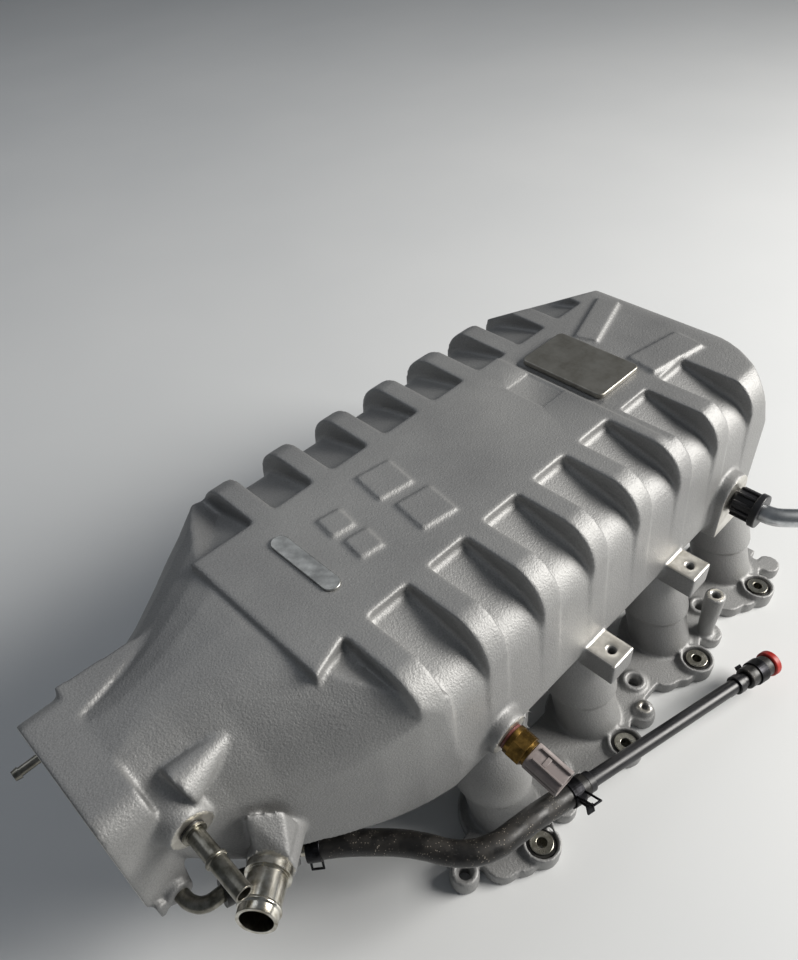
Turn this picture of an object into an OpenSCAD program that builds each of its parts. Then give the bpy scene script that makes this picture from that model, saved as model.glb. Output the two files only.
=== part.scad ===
// Cast intake manifold for a V8 engine, standing on its two head flange faces.
// X runs from the throttle mounting face to the rear, Y is across the engine,
// Z is up, and the head flange joint faces lie at z = 0.

/* [Plenum] */
// Height of the flat top panel above the head flange faces
top_z = 204; // [180:1:230]
// Distance from the throttle face to the rear wall
rear_x = 558; // [520:1:600]
// Height of the underside of the plenum
belly_z = 87; // [80:1:100]
// Half width of the plenum at the floor joint
side_w = 119; // [110:1:130]
// Casting wall thickness
wall = 5; // [4:0.5:8]
// Half width of the flat central panel
panel_w = 53; // [40:1:62]
// Thickness of the plenum floor plate
floor_t = 6; // [4:0.5:10]

/* [Ribs] */
// Distance between two ribs
rib_pitch = 49.25; // [45:0.25:52]
// Width of one rib
rib_w = 17; // [10:0.5:22]
// Position of the first rib on the near side
near_rib_x = 158.5; // [150:0.5:170]
// Position of the first rib on the far side
far_rib_x = 177.5; // [170:0.5:190]
// Ribs on each side
rib_count = 7; // [4:1:8]

/* [Throttle] */
// Height of the throttle bore centre
bore_z = 143; // [130:1:150]
// Radius of the throttle bore
bore_r = 38.5; // [30:0.5:42]
// Half width of the square throttle flange
flange_w = 47; // [44:1:55]
// Thickness of the throttle flange
flange_t = 26; // [15:1:30]
// Half spacing of the throttle screws
screw_y = 37; // [34:0.5:40]

/* [Runners] */
// Distance between neighbouring ports
port_pitch = 98.5; // [90:0.5:105]
// Position of the first near port
near_port_x = 210; // [200:1:220]
// Forward offset of the far bank
far_offset = 19; // [0:1:24]
// Distance of a port from the centre plane at the head flange
port_y = 122; // [116:1:130]
// Distance of a runner from the centre plane at the plenum floor
root_y = 97; // [85:1:105]
// Radius of the runner bore
runner_r = 19; // [16:0.5:20]
// Runner wall thickness
runner_t = 6; // [4:0.5:7]

/* [Head flange] */
// Thickness of the head flange
head_t = 10; // [8:0.5:14]
// Distance of the bolt row from the centre plane
bolt_y = 157; // [150:1:165]
// Bolt position along the bank from the port centre
bolt_dx = -3.5; // [-8:0.5:8]
// Radius of the bolt lobe
lobe_r = 13; // [11:0.5:16]
// Radius of the hole for the rubber isolator
iso_hole_r = 8.5; // [7:0.1:10]

/* [Hidden] */
$fn = 64;
ports = 4;
neck_x = 96;
round_x = 400;
front_x = 122;
step_x = 405;
step_h = 2;
joint_z = belly_z + floor_t;
seal_y = port_y + head_t * (port_y - root_y) / (belly_z - head_t) - 1.5;
neck_slices = [[24, 49, 49, 2], [43, 55, 50, 2], [60, 62.5, 52, 2], [82, 75, 55, 2.1],
    [106, 90, 58, 2.4], [124, 102, 59, 2.7], [140, 111, 61, 3], [156, 120, 66, 3.4],
    [172, 130, 75, 4], [600, 130, 75, 4]];
facet_at = [515, 95, 182.5];
facet_n = unit([0.23, 0.52, 0.82]);
seal_r = runner_r + 2.5;
seal_w = 2;
near_end = near_rib_x + rib_pitch * rib_count - rib_w / 2;
far_end = far_rib_x + rib_pitch * rib_count - rib_w / 2;
boss_z = 106;
hole_y = 132;
hole_dx = -52.5;
sensor_x = 207;
sensor_y = 125;
sensor_z = 112;
sensor_tilt = 8;
line_x = 474;
line_y = 126;
line_z = 117;
breather_y = 57;
breather_z = 158;
breather_x = 36;

// Hose and pipe routes, chosen along the casting.
hose_route = [[88, -65, 60.3], [96, -72, 61], [106, -81, 62], [117, -92, 62], [128, -104, 62],
    [138, -118, 62], [146, -131, 61], [156, -141, 60], [170, -148, 59], [186, -151, 57],
    [202, -153.5, 55], [216, -156, 52], [229, -158.6, 49.8], [242, -161.4, 48]];
elbow_route = [[17, -47, 102], [17, -54, 102], [18.5, -60, 101.5], [23, -65, 101], [31, -67, 101],
    [38, -67, 101]];
joiner_route = [[31.5, -67, 101], [39, -67, 101], [47, -69, 96], [54, -69, 88], [59, -65.5, 82],
    [64, -61, 79]];
spigot_base = [57, -84, 119.7];
spigot_end = [35, -102, 125.8];
pipe_start = [234, -159.7, 49];
pipe_end = [413, -197.6, 25.4];
hose_r = 8;
hose_bore = 5.6;
pipe_r = 5.2;

function arc(c, r, a0, a1, n) =
    [for (i = [0:n]) [c[0] + r * cos(a0 + (a1 - a0) * i / n), c[1] + r * sin(a0 + (a1 - a0) * i / n)]];
function flip(p) = [for (i = [len(p) - 1:-1:0]) [-p[i][0], p[i][1]]];
function unit(v) = v / norm(v);
function bulge(c, n) = sign(c) * pow(abs(c), 2 / n);
function tangent(p, i) = unit(p[min(i + 1, len(p) - 1)] - p[max(i - 1, 0)]);
function across(t) = unit(cross(t, [0.1, 0.2, 1]));
function ring(c, t, r, n) =
    [for (k = [0:n - 1]) c + r * (cos(360 * k / n) * across(t) + sin(360 * k / n) * cross(t, across(t)))];

// Half sections of the casting seen along X, drawn from the belly up to the panel.
function crest(t) = concat(
    [[side_w - 14 - t, belly_z + t], [side_w - 4 - t, belly_z + 3 + t], [side_w - t, belly_z + 14]],
    [[116 - t, 140]],
    arc([85, 175], 29.5 - t, 8, 90, 8));
function valley(t) = concat(
    [[side_w - 14 - t, belly_z + t], [side_w - 4 - t, belly_z + 3 + t], [side_w - t, belly_z + 14]],
    [[115.5 - t, 138]],
    arc([87.5, 161], 26 - t, 4, 75, 7),
    [[78, 190.5 - t], [56, 196 - t]]);

module section(half) {
    polygon(concat(half, flip(half)));
}

module along_x(x0, x1) {
    translate([x0, 0, 0])
        rotate([90, 0, 90])
            linear_extrude(x1 - x0)
                children();
}

// Plan outline of the casting, inset by t.
module plan(t) {
    side = concat(
        [[flange_t, 48 - t], [60, 62 - t], [82, 74.5 - t], [106, 88.5 - t], [128, 100.5 - t]],
        [[150, 110 - t], [172, 117 - t], [186, side_w - t]],
        arc([rear_x - 52, side_w - 52], 52 - t, 90, 0, 8));
    polygon(concat(side, [for (i = [len(side) - 1:-1:0]) [side[i][0], -side[i][1]]]));
}

// Side outline of the casting, inset by t.
module profile(t) {
    polygon(concat(
        [[flange_t, 98 + t], [60, belly_z + 4 + t], [100, belly_z + t], [rear_x - 12 - t, belly_z + t]],
        arc([rear_x - 28, top_z - step_h - 28], 28 - t, 0, 90, 7),
        [[step_x + 1, top_z - step_h - t], [step_x, top_z - t], [front_x, top_z - t], [flange_t, 190 - t]]));
}

module trim(t) {
    intersection() {
        linear_extrude(top_z + 10)
            plan(t);
        rotate([90, 0, 0])
            linear_extrude(2 * side_w + 10, center = true)
                profile(t);
        union() {
            translate([flange_t, 0, bore_z])
                rotate([0, 90, 0])
                    cylinder(h = 600, r1 = 49 - t, r2 = 49 + 600 - t, $fn = 96);
            translate([0, -200, bore_z])
                cube([600, 400, 100]);
        }
        union() {
            translate([0, -200, 0])
                cube([round_x, 400, 400]);
            translate([round_x - 1, 0, belly_z - 1])
                cylinder(h = 160, r1 = 196 - t, r2 = 140 - t, $fn = 96);
        }
        far_corner(t);
    }
}

// Top half of the neck skin: sections that grow from the round mouth to the wide body.
module neck_form(t) {
    n = 16;
    rings = [for (s = neck_slices)
        concat([[s[0], -s[1] - 1, bore_z - 60]],
            [for (i = [0:n]) [s[0], -bulge(cos(180 * i / n), s[3]) * (s[1] - t),
                bore_z + bulge(sin(180 * i / n), s[3]) * (s[2] - t)]],
            [[s[0], s[1] + 1, bore_z - 60]])];
    m = n + 3;
    last = len(rings) - 1;
    polyhedron(
        [for (r = rings) for (p = r) p],
        concat(
            [[for (i = [m - 1:-1:0]) i]],
            [for (k = [0:last - 1]) for (i = [0:m - 1]) [k * m + i, k * m + (i + 1) % m, (k + 1) * m + i]],
            [for (k = [0:last - 1]) for (i = [0:m - 1])
                [k * m + (i + 1) % m, (k + 1) * m + (i + 1) % m, (k + 1) * m + i]],
            [[for (i = [0:m - 1]) last * m + i]]));
}

// Everything below the sloping facet on the far rear corner.
module far_corner(t) {
    translate(facet_at - t * facet_n)
        rotate([0, acos(facet_n[2]), atan2(facet_n[1], facet_n[0])])
            translate([-700, -700, -700])
                cube([1400, 1400, 700]);
}

module rib_bars(x0, side) {
    for (i = [0:rib_count - 1])
        translate([x0 + rib_pitch * i - rib_w / 2, side * (side_w + 6) / 2 - (side_w + 6) / 2, belly_z])
            cube([rib_w, side_w + 6, top_z - belly_z + 1]);
}

module end_block(x0, side) {
    translate([x0, side * (side_w + 6) / 2 - (side_w + 6) / 2, belly_z])
        cube([rear_x - x0, side_w + 6, top_z - belly_z]);
}

// Flat central panel, a little wider where it meets the neck.
module panel() {
    linear_extrude(top_z + 1)
        polygon([[front_x + 1, -62], [150, -panel_w], [rear_x, -panel_w],
            [rear_x, panel_w], [168, panel_w], [front_x + 1, 54]]);
}

// Upper skin of the neck, running down into the first pocket on each side.
module neck_top() {
    rotate([90, 0, 0])
        linear_extrude(2 * side_w + 10, center = true)
            polygon([[flange_t, belly_z], [170, belly_z], [170, 186], [front_x - 12, top_z],
                [front_x - 12, top_z + 1], [flange_t, top_z + 1]]);
}

// The outer form of the whole casting: floor of the pockets, ribs and central panel.
module loaf() {
    intersection() {
        union() {
            intersection() {
                union() {
                    along_x(flange_t, rear_x)
                        section(valley(0));
                    intersection() {
                        along_x(flange_t, rear_x)
                            section(crest(0));
                        neck_top();
                    }
                }
                neck_form(0);
            }
            intersection() {
                along_x(flange_t, rear_x)
                    section(crest(0));
                union() {
                    rib_bars(near_rib_x, -1);
                    rib_bars(far_rib_x, 1);
                    end_block(near_end, -1);
                    end_block(far_end, 1);
                    panel();
                }
            }
        }
        trim(0);
    }
}

module hollow() {
    intersection() {
        along_x(flange_t - 1, rear_x - wall)
            section(valley(wall));
        neck_form(wall);
        trim(wall);
    }
}

module port_at(side, i) {
    x = near_port_x + (side > 0 ? far_offset : 0) + port_pitch * i;
    translate([x, 0, 0])
        children();
}

// Straight slanted tube between the floor joint and the head flange.
module slanted(side, r) {
    lean = atan((port_y - root_y) / (belly_z - head_t));
    translate([0, side * port_y, head_t])
        rotate([side * lean, 0, 0])
            translate([0, 0, -30])
                cylinder(h = belly_z + 34, r = r);
}

module boss_hole(r, h) {
    translate([0, 0, -h])
        cylinder(h = h + 1, r = r);
}

module plenum_shell() {
    color("#9a9a98")
    difference() {
        intersection() {
            loaf();
            translate([neck_x, -200, joint_z])
                cube([600, 400, 200]);
        }
        hollow();
        runner_bores();
        tilted_sensor()
            translate([0, 0, -30])
                cylinder(h = 40, r = 6);
        translate([line_x, -90, line_z])
            rotate([90, 0, 0])
                cylinder(h = 60, r = 6);
    }
}

module runner_bores() {
    for (side = [-1, 1])
        for (i = [0:ports - 1])
            port_at(side, i)
                slanted(side, runner_r);
}

module plenum_floor() {
    color("#8e8e8c")
    difference() {
        intersection() {
            loaf();
            translate([neck_x, -200, 0])
                cube([600, 400, joint_z]);
        }
        runner_bores();
    }
}

module throttle_neck() {
    color("#a2a2a0")
    difference() {
        union() {
            intersection() {
                loaf();
                cube([2 * neck_x, 400, 600], center = true);
            }
            throttle_plate();
            gussets();
        }
        translate([-1, 0, bore_z])
            rotate([0, 90, 0])
                cylinder(h = flange_t + 2, r = bore_r);
        intersection() {
            hollow();
            translate([flange_t, 0, bore_z])
                rotate([0, 90, 0])
                    cylinder(h = 100, r1 = bore_r, r2 = bore_r + 48, $fn = 96);
        }
        for (y = [-1, 1])
            for (z = [-1, 1])
                translate([-1, y * screw_y, bore_z + z * screw_y])
                    rotate([0, 90, 0])
                        cylinder(h = 21, r = 2.6);
        translate([0, 0, bore_z])
            rotate([0, 90, 0])
                difference() {
                    translate([0, 0, -1])
                        cylinder(h = 3.6, r = 44);
                    translate([0, 0, -2])
                        cylinder(h = 6, r = 41);
                }
        translate([breather_x, 0, breather_z])
            rotate([90, 0, 0])
                cylinder(h = 100, r = 4);
        translate([13, 32, 126])
            rotate([-90, 0, 0])
                cylinder(h = 40, r = 2);
    }
}

// Thin corner gusset on the far side and a pointed lobe beside the breather on the near side.
module gussets() {
    translate([0, 0, 160])
        linear_extrude(30)
            polygon([[flange_t - 1, 21], [flange_t - 1, flange_w], [94, 42]]);
    along([42, -44, 177], [88, -40, 185], 0)
        cylinder(h = 46, r1 = 13, r2 = 1.5);
}

module throttle_plate() {
    translate([0, 0, bore_z])
        rotate([0, 90, 0])
            linear_extrude(flange_t)
                rounded_square(flange_w, 14);
}

module rounded_square(w, r) {
    square([2 * w, 2 * (w - r)], center = true);
    square([2 * (w - r), 2 * w], center = true);
    for (a = [-1, 1])
        for (b = [-1, 1])
            translate([a * (w - r), b * (w - r)])
                circle(r = r);
}

module throttle_seal() {
    color("#1b1b1b")
    translate([0.2, 0, bore_z])
        rotate([0, 90, 0])
            difference() {
                cylinder(h = 2.4, r = 44);
                translate([0, 0, -1])
                    cylinder(h = 5, r = 41);
            }
}

module runner(side, i) {
    color("#a0a09e")
    port_at(side, i)
        difference() {
            intersection() {
                union() {
                    slanted(side, runner_r + runner_t - 2);
                    intersection() {
                        slanted(side, runner_r + runner_t + 1);
                        translate([-60, -200, 44])
                            cube([120, 400, 60]);
                    }
                }
                translate([-60, -200, head_t])
                    cube([120, 400, belly_z - head_t]);
            }
            slanted(side, runner_r);
        }
}

module runner_near_1() { runner(-1, 0); }
module runner_near_2() { runner(-1, 1); }
module runner_near_3() { runner(-1, 2); }
module runner_near_4() { runner(-1, 3); }
module runner_far_1() { runner(1, 0); }
module runner_far_2() { runner(1, 1); }
module runner_far_3() { runner(1, 2); }
module runner_far_4() { runner(1, 3); }

module head_outline(side) {
    for (i = [0:ports - 1])
        translate([near_port_x + (side > 0 ? far_offset : 0) + port_pitch * i, side * port_y]) {
            circle(r = 32);
            translate([bolt_dx, side * (bolt_y - port_y)])
                circle(r = lobe_r);
            translate([bolt_dx - 9, side * 14 - 12])
                square([18, 24]);
        }
    for (i = [0:ports - 1])
        translate([near_port_x + (side > 0 ? far_offset : 0) + port_pitch * i, 0]) {
            translate([hole_dx, side * hole_y])
                circle(r = 10);
            translate([29, side * 151])
                circle(r = 9.5);
            translate([16, side * 130])
                square([22, 36], center = true);
            translate([-28, side * 143])
                circle(r = 14);
            translate([-17, side * 151])
                circle(r = 12);
        }
    translate([near_port_x + (side > 0 ? far_offset : 0) - 45, side * 126 - 10])
        square([port_pitch * (ports - 1) + 80, 20]);
    translate([near_port_x + (side > 0 ? far_offset : 0), side * port_y - 24])
        square([port_pitch * (ports - 1), 48]);
}

module head_flange(side) {
    color("#9c9c9a")
    difference() {
        linear_extrude(head_t)
            head_outline(side);
        for (i = [0:ports - 1])
            port_at(side, i)
                translate([hole_dx, side * hole_y, -1])
                    cylinder(h = head_t + 2, r = 4);
        for (i = [0:ports - 1])
            port_at(side, i) {
                slanted(side, runner_r);
                translate([bolt_dx, side * bolt_y, -1])
                    cylinder(h = head_t + 2, r = iso_hole_r);
                translate([0, side * seal_y, -1])
                    difference() {
                        cylinder(h = 4, r = seal_r + seal_w);
                        translate([0, 0, -1])
                            cylinder(h = 6, r = seal_r);
                    }
            }
    }
}

module head_flange_near() { head_flange(-1); }
module head_flange_far() { head_flange(1); }

module port_seals(side) {
    color("#8a2f22")
    for (i = [0:ports - 1])
        port_at(side, i)
            translate([0, side * seal_y, 0.2])
                difference() {
                    cylinder(h = 2.8, r = seal_r + seal_w);
                    translate([0, 0, -1])
                        cylinder(h = 5, r = seal_r);
                }
}

module port_seals_near() { port_seals(-1); }
module port_seals_far() { port_seals(1); }

module isolators(side) {
    color("#202020")
    for (i = [0:ports - 1])
        port_at(side, i)
            translate([bolt_dx, side * bolt_y, 0])
                difference() {
                    union() {
                        cylinder(h = head_t, r = iso_hole_r);
                        translate([0, 0, head_t])
                            cylinder(h = 2.5, r = iso_hole_r + 1.5);
                    }
                    translate([0, 0, -1])
                        cylinder(h = head_t + 5, r = 6);
                }
}

module isolators_near() { isolators(-1); }
module isolators_far() { isolators(1); }

module sleeves(side) {
    color("#b9b6a8")
    for (i = [0:ports - 1])
        port_at(side, i)
            translate([bolt_dx, side * bolt_y, 0])
                difference() {
                    union() {
                        cylinder(h = head_t + 2.5, r = 6);
                        translate([0, 0, head_t + 2.5])
                            cylinder(h = 1.5, r = 8);
                    }
                    translate([0, 0, -1])
                        cylinder(h = head_t + 8, r = 3.5);
                }
}

module sleeves_near() { sleeves(-1); }
module sleeves_far() { sleeves(1); }

module bellmouths(side) {
    color("#77797b")
    intersection() {
        for (i = [0:ports - 1])
            port_at(side, i)
                translate([0, side * (root_y - 2), joint_z])
                    rotate_extrude($fn = 48)
                        translate([runner_r, 0])
                            polygon([[1, 0], [5, 0], [5, 1.5], [3, 2.5], [3, 8], [7, 12], [6, 13], [1, 8]]);
        translate([neck_x, -side_w + wall + 1.5, joint_z])
            cube([440, 2 * (side_w - wall - 1.5), 20]);
        along_x(neck_x, rear_x)
            section(valley(wall + 0.6));
        trim(wall + 0.6);
    }
}

module bellmouths_near() { bellmouths(-1); }
module bellmouths_far() { bellmouths(1); }

// Square machined bracket boss on the side wall, hole along Z.
module bracket_boss(x) {
    color("#c4c2bd")
    difference() {
        translate([x - 11.5, -143, belly_z + 0.3])
            cube([23, 32, boss_z - belly_z - 0.3]);
        translate([x, -133, boss_z])
            boss_hole(3, 16);
        along_x(x - 20, x + 20)
            section(crest(0));
    }
}

module bracket_boss_front() { bracket_boss(304); }
module bracket_boss_rear() { bracket_boss(402.5); }

module standoff_post() {
    color("#a5a5a2")
    translate([434, -147, head_t])
        difference() {
            cylinder(h = 46, r1 = 6, r2 = 8);
            translate([0, 0, 46])
                boss_hole(3, 20);
        }
}

module dowel_boss() {
    color("#a5a5a2")
    translate([339, -151, head_t])
        difference() {
            cylinder(h = 5, r = 6.5);
            translate([0, 0, 5])
                boss_hole(2.5, 5);
        }
}

module tilted_sensor() {
    translate([sensor_x, -sensor_y, sensor_z])
        rotate([90 + sensor_tilt, 0, 0])
            children();
}

module sensor_boss() {
    color("#a8a8a5")
    difference() {
        tilted_sensor()
            translate([0, 0, -20])
                cylinder(h = 20, r = 15);
        intersection() {
            loaf();
            translate([neck_x, -200, joint_z])
                cube([600, 400, 200]);
        }
        translate([100, -200, 0])
            cube([200, 200, joint_z]);
        tilted_sensor()
            translate([0, 0, -40])
                cylinder(h = 60, r = 6);
    }
}

module sensor_seal() {
    color("#5c2b25")
    tilted_sensor()
        difference() {
            cylinder(h = 2.4, r = 9);
            translate([0, 0, -1])
                cylinder(h = 5, r = 6);
        }
}

module sensor_body() {
    color("#86703c")
    tilted_sensor() {
        translate([0, 0, -22])
            cylinder(h = 14, r = 3.5);
        translate([0, 0, -9])
            cylinder(h = 11.4, r = 6);
        translate([0, 0, 2.4])
            cylinder(h = 3, r = 10);
        translate([0, 0, 5.4])
            linear_extrude(9)
                circle(r = 11, $fn = 6);
        translate([0, 0, 14.4])
            cylinder(h = 2.2, r = 8.5);
    }
}

module sensor_housing() {
    color("#8f8684")
    tilted_sensor()
        translate([0, 0, 16.6])
            difference() {
                linear_extrude(25)
                    lens(9.5);
                translate([0, 0, 5])
                    linear_extrude(22)
                        lens(7.6);
            }
}

module lens(r) {
    circle(r = r * 0.86);
    square([2 * r, r * 0.9], center = true);
}

module sensor_pins() {
    color("#c9c2a8")
    tilted_sensor()
        for (x = [-2.4, 2.4])
            translate([x - 0.6, -0.6, 21.6])
                cube([1.2, 1.2, 12]);
}

module line_boss() {
    color("#a8a8a5")
    difference() {
        union() {
            translate([line_x, -95, line_z + 2])
                rotate([90, 0, 0])
                    cylinder(h = line_y - 95, r = 19);
            translate([line_x - 19, -line_y, belly_z])
                cube([38, line_y - 95, line_z + 2 - belly_z]);
        }
        intersection() {
            loaf();
            translate([neck_x, -200, belly_z - 1])
                cube([600, 400, 200]);
        }
        translate([line_x, -90, line_z])
            rotate([90, 0, 0])
                cylinder(h = 60, r = 6);
    }
}

module line_seal() {
    color("#1b1b1b")
    translate([line_x, -line_y, line_z])
        rotate([90, 0, 0])
            difference() {
                cylinder(h = 1.6, r = 9);
                translate([0, 0, -1])
                    cylinder(h = 4, r = 6);
            }
}

module line_connector() {
    color("#151517")
    translate([line_x, -line_y, line_z])
        rotate([90, 0, 0])
            difference() {
                union() {
                    translate([0, 0, -13])
                        cylinder(h = 15, r = 6);
                    translate([0, 0, 1.6])
                        cylinder(h = 24, r = 10.5);
                    for (k = [0:11])
                        rotate([0, 0, 30 * k])
                            translate([9, -1, 3])
                                cube([3.2, 2, 20]);
                }
                translate([0, 0, -14])
                    cylinder(h = 50, r = 3.5);
                translate([0, 0, 14])
                    cylinder(h = 20, r = 7);
            }
}

module line_pipe() {
    color("#c8cacb")
    translate([line_x, -line_y - 14, line_z])
        difference() {
            line_run(7);
            line_run(5);
            rotate([90, 0, 0])
                translate([0, 0, -1])
                    cylinder(h = 2, r = 5);
        }
}

module line_run(r) {
    rotate([90, 0, 0])
        cylinder(h = 18, r = r);
    translate([0, -18, 0])
        sphere(r = r);
    translate([0, -18, 0])
        rotate([90, 0, 44])
            cylinder(h = 48 + (7 - r), r = r);
}

module breather_boss() {
    color("#b5b4b0")
    difference() {
        translate([breather_x, -10, breather_z])
            rotate([90, 0, 0])
                cylinder(h = breather_y - 10, r1 = 31, r2 = 12.5);
        intersection() {
            loaf();
            cube([2 * neck_x, 400, 600], center = true);
        }
        throttle_plate();
        gussets();
        translate([breather_x, 0, breather_z])
            rotate([90, 0, 0])
                cylinder(h = 100, r = 4);
        translate([-1, 0, bore_z])
            rotate([0, 90, 0])
                cylinder(h = 100, r = bore_r);
    }
}

module breather_seal() {
    color("#23211d")
    translate([breather_x, -breather_y, breather_z])
        rotate([90, 0, 0])
            difference() {
                cylinder(h = 1.6, r = 7);
                translate([0, 0, -1])
                    cylinder(h = 4, r = 5);
            }
}

module breather_tube() {
    color("#77745f")
    translate([breather_x, -breather_y, breather_z])
        rotate([90, 0, 0])
            difference() {
                union() {
                    cylinder(h = 44, r = 5);
                    translate([0, 0, 21])
                        rotate_extrude($fn = 48)
                            translate([5, 0])
                                circle(r = 1.2, $fn = 16);
                    translate([0, 0, 1.6])
                        cylinder(h = 1.5, r = 7);
                }
                translate([0, 0, -1])
                    cylinder(h = 50, r = 3.8);
            }
}

// Boss and hanging lug below the breather, carrying the spigot and the hose barb.
module spigot_block() {
    color("#b0afab")
    difference() {
        union() {
            along(spigot_base, spigot_end, -30)
                cylinder(h = 30, r = 14);
            translate([64, -66, 50])
                cube([18, 18, 60]);
        }
        loaf();
        throttle_plate();
        along(spigot_base, spigot_end, -24)
            cylinder(h = 30, r = 9);
        along(joiner_route[4], joiner_route[5], -3)
            cylinder(h = 12, r = 8.6);
    }
}

module spigot() {
    color("#cfccc4")
    along(spigot_base, spigot_end, 0)
        difference() {
            union() {
                cylinder(h = 5, r = 13);
                cylinder(h = norm(spigot_end - spigot_base), r = 11);
                translate([0, 0, 23])
                    rotate_extrude($fn = 48)
                        translate([10.6, 0])
                            circle(r = 1.4, $fn = 16);
            }
            translate([0, 0, -1])
                cylinder(h = 60, r = 9);
        }
}

module vacuum_nipple() {
    color("#6d6a5b")
    difference() {
        union() {
            translate([13, 47, 126])
                rotate([-90, 0, 0])
                    cylinder(h = 21, r = 4.2);
            translate([17, 64, 126])
                rotate([0, -90, 0])
                    cylinder(h = 32, r = 3);
            translate([-12, 64, 126])
                rotate([0, -90, 0])
                    cylinder(h = 4, r1 = 3.9, r2 = 3.3);
        }
        translate([13, 32, 126])
            rotate([-90, 0, 0])
                cylinder(h = 24, r = 2);
        translate([13, 64, 126])
            rotate([0, -90, 0])
                cylinder(h = 40, r = 2);
    }
}

module machined_pad() {
    color("#aaa59c")
    translate([437, -1, top_z - 2])
        linear_extrude(4)
            union() {
                square([49, 63], center = true);
                square([40, 72], center = true);
                for (a = [-1, 1])
                    for (b = [-1, 1])
                        translate([a * 20, b * 31.5])
                            circle(r = 4.5);
            }
}

module badge_plate() {
    color("#c8c8c4")
    translate([169, 2, top_z])
        rotate([0, 0, -90])
            linear_extrude(1.6) {
                square([46, 12], center = true);
                for (a = [-1, 1])
                    translate([a * 23, 0])
                        circle(r = 6);
            }
}

// Solid rod swept along a route.
module swept(route, r, n) {
    m = len(route);
    points = [for (i = [0:m - 1]) each ring(route[i], tangent(route, i), r, n)];
    sides = [for (i = [0:m - 2]) for (k = [0:n - 1])
        [i * n + k, (i + 1) * n + k, (i + 1) * n + (k + 1) % n, i * n + (k + 1) % n]];
    polyhedron(points = points, faces = concat(
        sides,
        [[for (k = [0:n - 1]) k]],
        [[for (k = [n - 1:-1:0]) (m - 1) * n + k]]));
}

// Hose swept along a route, open at both ends.
module hose_of(route, r, bore, n) {
    m = len(route);
    w = m * n;
    outer = [for (i = [0:m - 1]) each ring(route[i], tangent(route, i), r, n)];
    inner = [for (i = [0:m - 1]) each ring(route[i], tangent(route, i), bore, n)];
    skin = [for (i = [0:m - 2]) for (k = [0:n - 1])
        [i * n + k, (i + 1) * n + k, (i + 1) * n + (k + 1) % n, i * n + (k + 1) % n]];
    lining = [for (i = [0:m - 2]) for (k = [0:n - 1])
        [w + i * n + k, w + i * n + (k + 1) % n, w + (i + 1) * n + (k + 1) % n, w + (i + 1) * n + k]];
    front = [for (k = [0:n - 1]) [k, (k + 1) % n, w + (k + 1) % n, w + k]];
    back = [for (k = [0:n - 1]) let (j = (m - 1) * n)
        [j + k, w + j + k, w + j + (k + 1) % n, j + (k + 1) % n]];
    polyhedron(points = concat(outer, inner), faces = concat(skin, lining, front, back));
}

module hose() {
    color("#1c1a18")
    hose_of(hose_route, hose_r, hose_bore, 12);
}

// Child drawn along the line from a towards b, starting s millimetres from a.
module along(a, b, s) {
    v = b - a;
    translate(a + s * unit(v))
        rotate([0, acos(v[2] / norm(v)), atan2(v[1], v[0])])
            children();
}

module tube(h, r, bore) {
    difference() {
        cylinder(h = h, r = r);
        translate([0, 0, -1])
            cylinder(h = h + 2, r = bore);
    }
}

module hose_barb() {
    color("#b5b2a4")
    difference() {
        along([80, -57.8, 59.6], [88, -65, 60.3], 0)
            tube(20, 5, 3.6);
        translate([62, -70, 40])
            cube([20, 30, 40]);
    }
}

// Constant tension spring clamp: a band with two squeeze ears.
module clamp_band(r) {
    tube(7, r + 0.9, r);
    translate([r + 0.5, -3, 0])
        cube([9, 1.4, 6]);
    translate([r + 0.5, 1.6, 1])
        cube([9, 1.4, 6]);
}

module clamp_front() {
    color("#2b2b2c")
    along(hose_route[0], hose_route[1], 2)
        rotate([0, 0, 10])
            clamp_band(hose_r + 0.1);
}

module clamp_middle() {
    color("#2b2b2c")
    along(pipe_start, pipe_end, -5)
        rotate([0, 0, 60])
            clamp_band(hose_r + 0.1);
}

module clamp_rear() {
    color("#2b2b2c")
    along(pipe_start, pipe_end, 182)
        rotate([0, 0, 150])
            clamp_band(8.1);
}

module transfer_pipe() {
    color("#2a2a2e")
    along(pipe_start, pipe_end, 0)
        difference() {
            union() {
                cylinder(h = norm(pipe_end - pipe_start), r = pipe_r);
                translate([0, 0, 9])
                    cylinder(h = 5, r = 7);
            }
            translate([0, 0, -1])
                cylinder(h = 300, r = 3.8);
        }
}

module pipe_clip() {
    color("#161618")
    along(pipe_start, pipe_end, 160) {
        tube(6, pipe_r + 1.8, pipe_r);
        translate([pipe_r + 1, -2, 0])
            cube([6, 4, 6]);
    }
}

module end_sleeve() {
    color("#1a1917")
    along(pipe_start, pipe_end, 172)
        tube(25, 8, pipe_r);
}

// Push-in plug that closes the free end of the pipe.
module end_plug() {
    color("#a01f14")
    along(pipe_start, pipe_end, 197.3) {
        cylinder(h = 6, r = 9.5);
        translate([0, 0, -10])
            cylinder(h = 10.5, r = pipe_r - 0.4);
    }
}

module elbow_pipe() {
    color("#77745f")
    swept(elbow_route, 4.5, 12);
}

module elbow_joiner() {
    color("#1c1a18")
    hose_of(joiner_route, 8, 4.8, 12);
}

// Puts the origin on the axis of the throttle bore, at its mounting face.
module placed() {
    translate([0, 0, -bore_z])
        children();
}

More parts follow.
